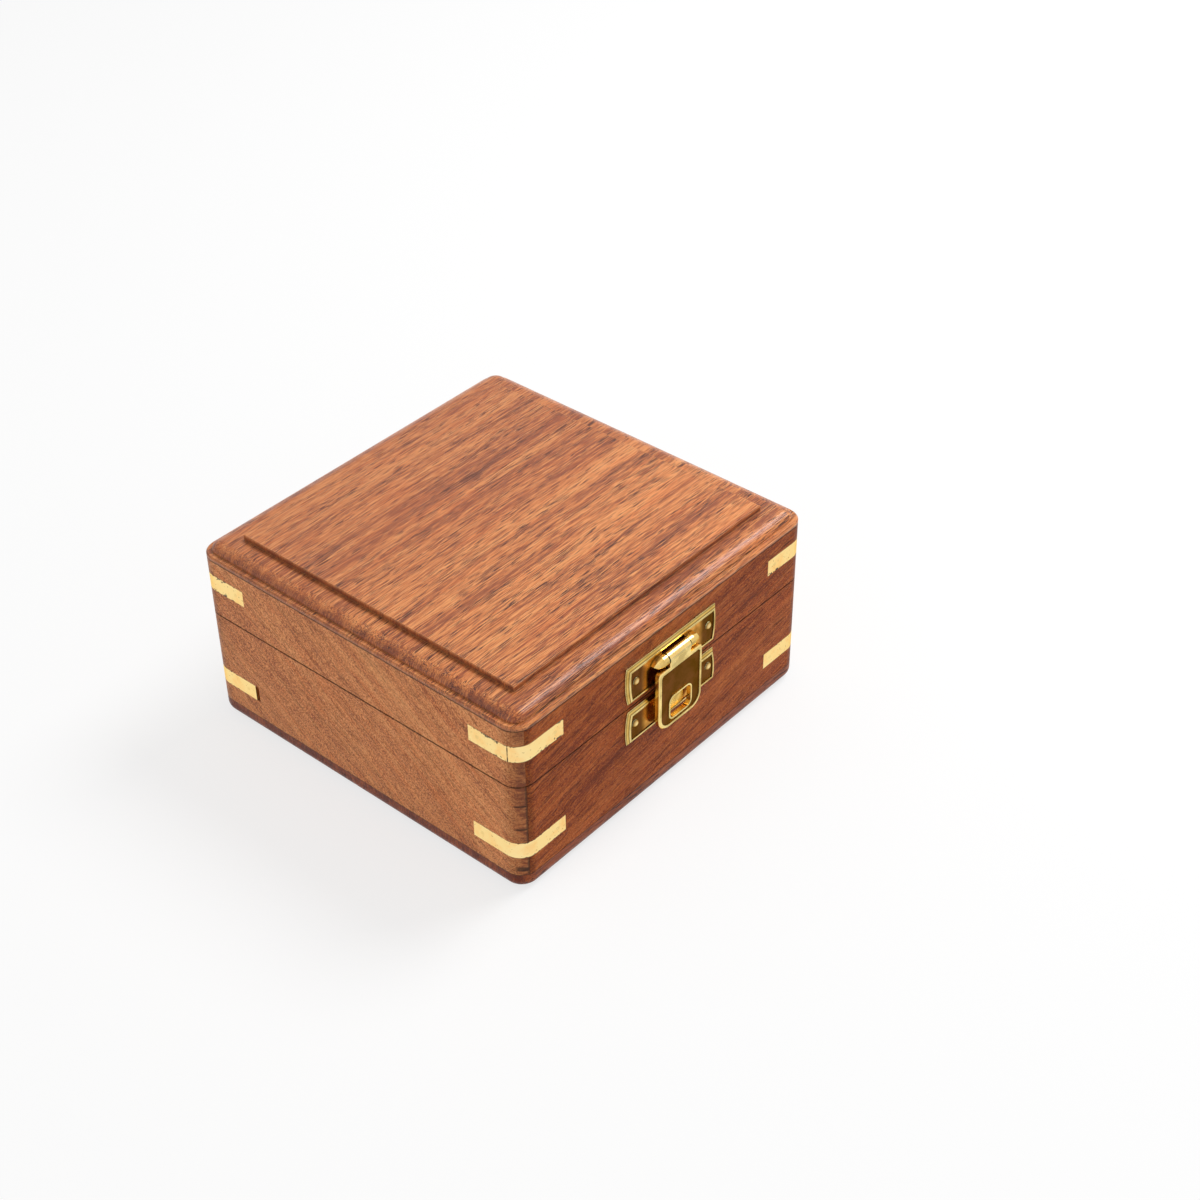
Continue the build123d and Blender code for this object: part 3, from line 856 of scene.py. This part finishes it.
@dataclass
class Carcass:
    """The boards of the base and the lid."""

    light: Colour = (0.9, 0.375, 0.13)
    mid: Colour = (0.68, 0.225, 0.07)
    dark: Colour = (0.33, 0.088, 0.034)
    side_tint: Colour = (1.04, 1.14, 1.3)
    # Darker, redder tint of the front and back boards: partly their wood, partly painted shade taken from
    # the shaded front.
    front_tint_and_shade: Colour = (0.65, 0.45, 0.3)
    bottom_tint: Colour = (0.52, 0.36, 0.32)
    seam_height: float = 33.2 * MM
    bottom_height: float = 4.6 * MM
    wall_height: float = 50.6 * MM
    corner_joint: float = 52.2 * MM
    half_depth: float = 54.3 * MM
    line_width: float = 0.38 * MM
    moulding_line: float = 0.6 * MM
    corner_lines: dict[str, tuple[float, float]] = field(
        default_factory=lambda: {"lid": (0.35 * MM, 0.4), "base": (0.45 * MM, 0.85)}
    )
    # Wide soft bands by the corners: stain and painted shade.
    joint_smudge_and_shade: tuple[float, float] = (2.4 * MM, 0.35)
    corner_stain_and_shade: tuple[float, float] = (7.5 * MM, 0.34)
    tick_span: tuple[float, float] = (-50.6 * MM, -52.2 * MM)
    ticks: tuple[tuple[float, float], ...] = (
        (27.1 * MM, 0.5 * MM), (19.7 * MM, 0.55 * MM), (6.6 * MM, 1.2 * MM),
    )

    def finish(self, name: str, grain: GrainAxis, tint: Colour, place: Triple, **more: Any) -> WoodFinish:
        """Return the finish of one board.

        Args:
            name: the material's name.
            grain: direction of the fibres.
            tint: share of each colour channel that the board keeps.
            place: where in the log it was cut.
            **more: other settings of the finish.

        Returns:
            The finish.
        """
        tones = (self.light, self.mid, self.dark)
        tones = (tuple(part * share for part, share in zip(tone, tint)) for tone in tones)
        return WoodFinish(name, grain, *tones, log_place=place, **more)

    def joints(self, half: str, side: str) -> tuple[JointLine, ...]:
        """Return the joint lines, the stains and the painted corner shade of one wall."""
        lines = [
            JointLine(0, self.corner_joint, *self.corner_lines[half]),
            JointLine(0, self.corner_joint, *self.joint_smudge_and_shade),
            JointLine(2, self.seam_height, self.line_width),
            JointLine(2, self.wall_height, self.moulding_line) if half == "lid"
            else JointLine(2, self.bottom_height, self.line_width),
        ]
        if side in ("left", "right"):
            # Stain and painted shade on the side boards towards the front and back corners.
            lines.append(JointLine(1, self.half_depth, *self.corner_stain_and_shade))
        if (half, side) == ("base", "left"):
            lines += [JointLine(2, height, width, 1.0, self.tick_span) for height, width in self.ticks]
        return tuple(lines)

    def dress(self) -> None:
        """Give every board its own cut of wood."""
        top = self.finish(
            "top_wood", GrainAxis.ALONG_X, WHITE, (0.31, 0.14, 0.07), lines=1.9, sway=0.0028, gloss=0.7,
            drift=0.32, edge=0.5, edge_width=0.6 * MM,
        )
        dress(["lid_top_board"], top.material())
        bottom = self.finish("bottom_wood", GrainAxis.ALONG_X, self.bottom_tint, (0.9, 0.5, 0.2))
        dress(["base_bottom_board"], bottom.material())
        ends = {"bands": 1.5, "lines": 1.3, "mottle": 2.8, "pores": 0.7, "sway": 0.01, "gloss": 0.05}
        sides = {"bands": 0.95, "lines": 0.55, "mottle": 3.0, "pores": 0.45, "sway": 0.012, "gloss": 0.14}
        along_x = (GrainAxis.ALONG_X, self.front_tint_and_shade, ends)
        along_y = (GrainAxis.ALONG_Y, self.side_tint, sides)
        for side, (grain, tint, figure), turn, lid_place, base_place in (
            ("front", along_x, 12.0, (1.3, 0.2, 0.6), (1.7, 0.9, 0.1)),
            ("back", along_x, 12.0, (2.3, 0.4, 0.9), (2.9, 0.8, 0.5)),
            ("left", along_y, -35.0, (0.4, 3.1, 0.3), (0.4, 3.1, 0.3)),
            ("right", along_y, 28.0, (0.2, 4.3, 0.8), (0.2, 4.3, 0.8)),
        ):
            for half, place in (("lid", lid_place), ("base", base_place)):
                wall = self.finish(f"{half}_{side}_wood", grain, tint, place, turn_deg=turn,
                                   joints=self.joints(half, side), **figure)
                dress([f"{half}_{side}_board"], wall.material())


@dataclass
class CornerStraps:
    """Brass straps let in round the corners, and their flush pins."""

    finish: StrapFinish = StrapFinish(
        "strap_metal", (1.0, 0.77, 0.36), (1.0, 0.64, 0.25), 0.3, 0.75, 0.6, 1.2
    )
    pin_finish: BrassFinish = BrassFinish(
        "pin_metal", (0.95, 0.72, 0.33), (0.78, 0.54, 0.22), 0.3, 0.6, 0.4
    )
    pin_radius: float = 0.55 * MM
    pin_inset: float = 2.8 * MM
    pin_height: float = 0.6 * MM
    pin_proud: float = 0.03 * MM
    halves: tuple[str, ...] = ("base", "lid")

    def corners(self) -> list[str]:
        """Return the words that name the four corners."""
        return [f"{end}_{side}" for end in ("front", "back") for side in ("left", "right")]

    def pin_spots(self, half: str) -> list[tuple[Vector, FaceAxis]]:
        """Return the place and direction of each pin head of one half."""
        spots = []
        for corner in self.corners():
            low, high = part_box(f"{half}_strap_{corner}")
            height = (low.z + high.z) / 2
            left, front = low.x < 0, low.y < 0
            side_x = low.x if left else high.x
            side_y = high.y - self.pin_inset if front else low.y + self.pin_inset
            end_y = low.y if front else high.y
            end_x = high.x - self.pin_inset if left else low.x + self.pin_inset
            spots.append((Vector((side_x, side_y, height)), FaceAxis.LEFT if left else FaceAxis.RIGHT))
            spots.append((Vector((end_x, end_y, height)), FaceAxis.FRONT if front else FaceAxis.BACK))
        return spots

    def pin(self) -> Piece:
        """Return one filed pin head along +Z, its face a little proud of the origin."""
        clear_selection()
        centre = self.pin_proud - self.pin_height / 2
        bpy.ops.mesh.primitive_cylinder_add(
            vertices=32, radius=self.pin_radius, depth=self.pin_height, location=(0.0, 0.0, centre)
        )
        pin = bpy.context.object
        bpy.ops.object.transform_apply(location=True)
        apply_modifier(pin, "BEVEL", width=0.04 * MM, segments=2, limit_method="ANGLE")
        return pin

    def dress(self) -> None:
        """Dress the straps and add the pins."""
        brass = self.finish.material()
        pin_brass = self.pin_finish.material()
        for half in self.halves:
            dress([f"{half}_strap_{corner}" for corner in self.corners()], brass)
            pins = spread(self.pin(), self.pin_spots(half), f"{half}_strap_pins")
            finish_piece(pins, pin_brass, half)


@dataclass
class DropLatch:
    """Stamped plates, the slotted tongue on its pin, the lug and the nails."""

    # The ramps below are painted reflection and shade; the dark field is partly patina.
    plate_finish: BrassFinish = BrassFinish(
        "latch_plate_metal", (1.0, 0.8, 0.38), (0.72, 0.5, 0.17), 0.16, 0.7, 0.25, 0.7,
        flat_light_tones=DepthTones(54.3 * MM, 55.8 * MM, (
            (0.0, FIELD_PATINA_AND_REFLECTION), (0.56, FIELD_PATINA_AND_REFLECTION), (0.6, WHITE), (0.8, CREST_PATINA_AND_REFLECTION),
        )),
        slope_light_tones=DepthTones(54.3 * MM, 55.8 * MM, (
            (0.2, WHITE), (0.26, (0.28, 0.24, 0.12)), (0.43, (0.78, 0.66, 0.42)), (0.55, (0.42, 0.32, 0.15)),
            (0.61, (0.1, 0.07, 0.03)), (0.64, WHITE), (0.8, CREST_PATINA_AND_REFLECTION),
        )),
        reflection_glow_span=(12.2 * MM, 9.4 * MM),
    )
    tongue_finish: BrassFinish = BrassFinish(
        "latch_tongue_metal", (1.0, 0.8, 0.36), (0.74, 0.5, 0.17), 0.16, 0.4, 0.2, 0.7,
        flat_light_tones=DepthTones(56.4 * MM, 57.9 * MM, (
            (0.59, (0.8, 0.68, 0.5)), (0.6, FIELD_PATINA_AND_REFLECTION), (0.85, FIELD_PATINA_AND_REFLECTION), (0.87, WHITE),
        )),
        slope_light_tones=DepthTones(56.4 * MM, 57.9 * MM, ((0.0, (0.8, 0.68, 0.5)), (1.0, (0.95, 0.85, 0.7)))),
    )
    # Painted shade and highlight on the nail domes: dark at their foot, white at their crown.
    nail_shading_tones: DepthTones = DepthTones(55.05 * MM, 55.75 * MM, (
        (0.0, (0.06, 0.04, 0.03)), (0.3, (0.2, 0.13, 0.08)), (0.65, (0.7, 0.58, 0.42)), (0.9, WHITE),
    ))
    nail_finish: BrassFinish = BrassFinish(
        "nail_metal", (1.0, 0.8, 0.4), (0.75, 0.52, 0.2), 0.2, 0.5, 0.3,
        flat_light_tones=nail_shading_tones, slope_light_tones=nail_shading_tones,
    )
    field_standoff: float = 0.75 * MM
    nail_head: float = 1.15 * MM
    nail_crown: float = 0.65 * MM
    upper_nail: tuple[float, float] = (13.9 * MM, 41.2 * MM)
    lower_nail: tuple[float, float] = (14.2 * MM, 28.0 * MM)

    def nail(self) -> Piece:
        """Return one domed nail head along +Z, seated at the origin."""
        dome = (self.nail_head**2 + self.nail_crown**2) / (2 * self.nail_crown)
        clear_selection()
        bpy.ops.mesh.primitive_uv_sphere_add(
            segments=40, ring_count=64, radius=dome, location=(0.0, 0.0, self.nail_crown - dome)
        )
        nail = bpy.context.object
        bpy.ops.object.transform_apply(location=True)
        with editing(nail):
            bpy.ops.mesh.bisect(
                plane_co=(0.0, 0.0, 0.0), plane_no=(0.0, 0.0, 1.0), use_fill=True, clear_inner=True
            )
        apply_modifier(nail, "BEVEL", width=0.08 * MM, segments=3, limit_method="ANGLE", angle_limit=0.7)
        return nail

    def dress(self) -> None:
        """Dress the latch and add its nails."""
        plate_brass = self.plate_finish.material()
        tongue_brass = self.tongue_finish.material()
        nail_brass = self.nail_finish.material()
        dress(["latch_plate", "catch_plate"], plate_brass)
        dress(["latch_tongue", "catch_lug"], tongue_brass)
        dress(["latch_pin"], nail_brass)
        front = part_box("base_front_board")[0].y - self.field_standoff
        for body, name, (x, z) in (
            ("lid", "latch_plate_nails", self.upper_nail), ("base", "catch_plate_nails", self.lower_nail)
        ):
            spots = [(Vector((side * x, front, z)), FaceAxis.FRONT) for side in (-1, 1)]
            nails = spread(self.nail(), spots, name)
            finish_piece(nails, nail_brass, body)


@dataclass
class BackHinges:
    """Two butt hinges let into the back, and their slotted screws."""

    finish: BrassFinish = BrassFinish(
        "hinge_metal", (0.76, 0.56, 0.26), (0.52, 0.36, 0.15), 0.3, 0.7, 0.4, 1.2
    )
    screw_finish: BrassFinish = BrassFinish(
        "screw_metal", (0.84, 0.63, 0.3), (0.6, 0.42, 0.17), 0.26, 0.5, 0.3
    )
    head_radius: float = 1.5 * MM
    head_height: float = 0.5 * MM
    head_proud: float = 0.06 * MM
    slot_width: float = 0.4 * MM
    slot_depth: float = 0.3 * MM
    spacing: float = 13.0 * MM
    inset: float = 3.4 * MM

    def screw(self) -> Piece:
        """Return one slotted screw head along +Z, its face a little proud of the origin."""
        clear_selection()
        centre = self.head_proud - self.head_height / 2
        bpy.ops.mesh.primitive_cylinder_add(
            vertices=48, radius=self.head_radius, depth=self.head_height, location=(0.0, 0.0, centre)
        )
        head = bpy.context.object
        bpy.ops.object.transform_apply(location=True)
        apply_modifier(head, "BEVEL", width=0.1 * MM, segments=2, limit_method="ANGLE")
        clear_selection()
        bpy.ops.mesh.primitive_cube_add(size=1.0, location=(0.0, 0.0, self.head_proud))
        cutter = bpy.context.object
        cutter.scale = (4 * self.head_radius, self.slot_width, 2 * self.slot_depth)
        bpy.ops.object.transform_apply(location=True, scale=True)
        apply_modifier(head, "BOOLEAN", operation="DIFFERENCE", object=cutter, solver="EXACT")
        bpy.data.objects.remove(cutter)
        return head

    def dress(self) -> None:
        """Dress the leaves and pins and add the screws."""
        brass = self.finish.material()
        screw_brass = self.screw_finish.material()
        dress([f"{half}_hinge_leaf_{side}" for half in ("base", "lid") for side in ("left", "right")], brass)
        dress(["hinge_pins"], brass)
        pin_low, pin_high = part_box("hinge_pins")
        row_y = (pin_low.y + pin_high.y) / 2 - self.inset
        for half, direction in (("base", FaceAxis.UP), ("lid", FaceAxis.DOWN)):
            rim_low, rim_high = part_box(f"{half}_front_board")
            height = rim_high.z if half == "base" else rim_low.z
            spots = []
            for side in ("left", "right"):
                low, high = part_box(f"{half}_hinge_leaf_{side}")
                middle = (low.x + high.x) / 2
                for way in (-0.5, 0.5):
                    spots.append((Vector((middle + way * self.spacing, row_y, height)), direction))
            screws = spread(self.screw(), spots, f"{half}_hinge_screws")
            finish_piece(screws, screw_brass, half)


@dataclass
class Interior:
    """The cradle and the two felts."""

    cradle: WoodFinish = WoodFinish(
        "cradle_wood", GrainAxis.ALONG_X, (0.46, 0.2, 0.1), (0.36, 0.14, 0.065), (0.2, 0.07, 0.03),
        log_place=(5.1, 0.7, 0.3), lines=1.2, pores=0.6, gloss=0.15,
    )
    felt: FeltFinish = FeltFinish("green_felt", (0.03, 0.12, 0.07), (0.008, 0.04, 0.022))
    weld: float = 0.01 * MM
    voxel: float = 0.55 * MM
    nap_height: float = 0.22 * MM
    nap_size: float = 1.6 * MM
    felts: dict[str, str] = field(default_factory=lambda: {"recess_felt": "base", "lid_felt": "lid"})

    def felt_sheet(self, node: str) -> Piece:
        """Return a softened, napped sheet in place of a plain felt node."""
        sheet = copied(frame["nodes"][node])
        sheet.name = node + "_nap"
        sheet.parent = None
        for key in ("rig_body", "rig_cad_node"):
            if key in sheet:
                del sheet[key]
        with editing(sheet):
            bpy.ops.mesh.remove_doubles(threshold=self.weld)
        apply_modifier(sheet, "REMESH", mode="VOXEL", voxel_size=self.voxel)
        apply_modifier(sheet, "SMOOTH", factor=0.5, iterations=3)
        clouds = bpy.data.textures.new("felt_nap", "CLOUDS")
        clouds.noise_scale = self.nap_size
        clouds.noise_depth = 2
        apply_modifier(sheet, "DISPLACE", texture=clouds, strength=self.nap_height, mid_level=0.6)
        settle(sheet, 180.0)
        return sheet

    def dress(self) -> None:
        """Dress the cradle and replace the felts."""
        dress(["compass_cradle"], self.cradle.material())
        felt = self.felt.material()
        for node, body in self.felts.items():
            sheet = self.felt_sheet(node)
            finish_piece(sheet, felt, body)
            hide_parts(node)


@dataclass
class Stage:
    """Camera, floor, world and lamps."""

    camera_place: Triple = (-0.312085, -0.302545, 0.367942)
    camera_right: Triple = (0.65015, -0.75976, -0.00860)
    camera_up: Triple = (0.47161, 0.39465, 0.78857)
    camera_back: Triple = (-0.59572, -0.51674, 0.61489)
    lens_mm: float = 63.43
    sensor_mm: float = 36.0
    floor_size: float = 6.0
    paper: tuple[Colour, Colour] = ((0.78, 0.78, 0.78), (0.8, 0.8, 0.8))
    ambient: float = 0.45
    paper_glow: float = 0.72
    mirrored_glow: float = 0.95
    lamps: tuple[tuple[str, Vector, float, float], ...] = (
        ("key_softbox", Vector((0.6, -0.16, 0.8)), 0.5, 6.4),
        ("left_fill", Vector((-0.95, 0.1, 0.42)), 0.7, 1.4),
    )
    aim: Vector = field(default_factory=lambda: Vector((0.0, 0.0, 0.03)))

    def camera(self) -> None:
        """Place the camera where it stood."""
        clear_selection()
        bpy.ops.object.camera_add()
        camera = bpy.context.object
        camera.name = "camera"
        turn = Matrix((self.camera_right, self.camera_up, self.camera_back)).transposed()
        camera.matrix_world = Matrix.Translation(self.camera_place) @ turn.to_4x4()
        camera.data.sensor_width = self.sensor_mm
        camera.data.lens = self.lens_mm
        camera.data.clip_start = 0.01
        bpy.context.scene.camera = camera

    def floor(self) -> None:
        """Lay a white floor that keeps the box's shadow."""
        clear_selection()
        bpy.ops.mesh.primitive_plane_add(size=self.floor_size)
        floor = bpy.context.object
        floor.name = "floor"
        material, shader = new_material("floor_paper")
        path, mirrored = self.shown(shader)
        seen = shader.math("MAXIMUM", path, mirrored)
        grain = shader.noise(shader.node("TexCoord").outputs["Object"], 240.0, 4.0, 0.6)
        plain = shader.mix(shader.span(grain, 0.3, 0.7), *self.paper)
        paper = shader.node("BsdfDiffuse", {"Color": shader.mix(seen, plain, WHITE)}).outputs[0]
        glow = shader.node("Emission", {"Color": WHITE, "Strength": 1.0}).outputs[0]
        share = shader.times(mirrored, self.mirrored_glow)
        share = shader.times_plus(path, self.paper_glow, share)
        shader.output(shader.node("MixShader", {0: share, 1: paper, 2: glow}).outputs[0])
        floor.data.materials.append(material)

    def shown(self, shader: Shader) -> tuple[Any, Any]:
        """Return the masks of the camera's rays and of the rays that metal and glass send on."""
        path = shader.node("LightPath").outputs
        mirrored = shader.math("MAXIMUM", path["Is Glossy Ray"], path["Is Transmission Ray"])
        return path["Is Camera Ray"], mirrored

    def world(self) -> None:
        """Light everything evenly, and show white to the camera and in reflections."""
        world = bpy.data.worlds.new("studio")
        world.use_nodes = True
        shader = Shader(world.node_tree)
        seen = shader.math("MAXIMUM", *self.shown(shader))
        strength = shader.times_plus(seen, 1.0 - self.ambient, self.ambient)
        sky = shader.node("Background", {"Color": WHITE, "Strength": strength}).outputs[0]
        shader.node("OutputWorld", {"Surface": sky})
        bpy.context.scene.world = world

    def light(self) -> None:
        """Hang the soft lamps, aimed at the box."""
        for name, place, size, power in self.lamps:
            clear_selection()
            bpy.ops.object.light_add(type="AREA", location=place)
            lamp = bpy.context.object
            lamp.name = name
            lamp.data.shape = "DISK"
            lamp.data.size = size
            lamp.data.energy = power
            lamp.rotation_mode = "QUATERNION"
            lamp.rotation_quaternion = (place - self.aim).to_track_quat("Z", "Y")

    def set_up(self) -> None:
        """Build the whole stage."""
        self.camera()
        self.floor()
        self.world()
        self.light()
        bpy.context.scene.view_settings.view_transform = "Standard"


def main() -> None:
    """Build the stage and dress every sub-assembly."""
    logging.basicConfig(level=logging.INFO, format="%(name)s: %(message)s")
    Stage().set_up()
    for part in (Carcass(), CornerStraps(), DropLatch(), BackHinges(), Interior()):
        LOG.info("dressing %s", type(part).__name__)
        part.dress()
    clear_selection()


if __name__ == "__main__":
    main()
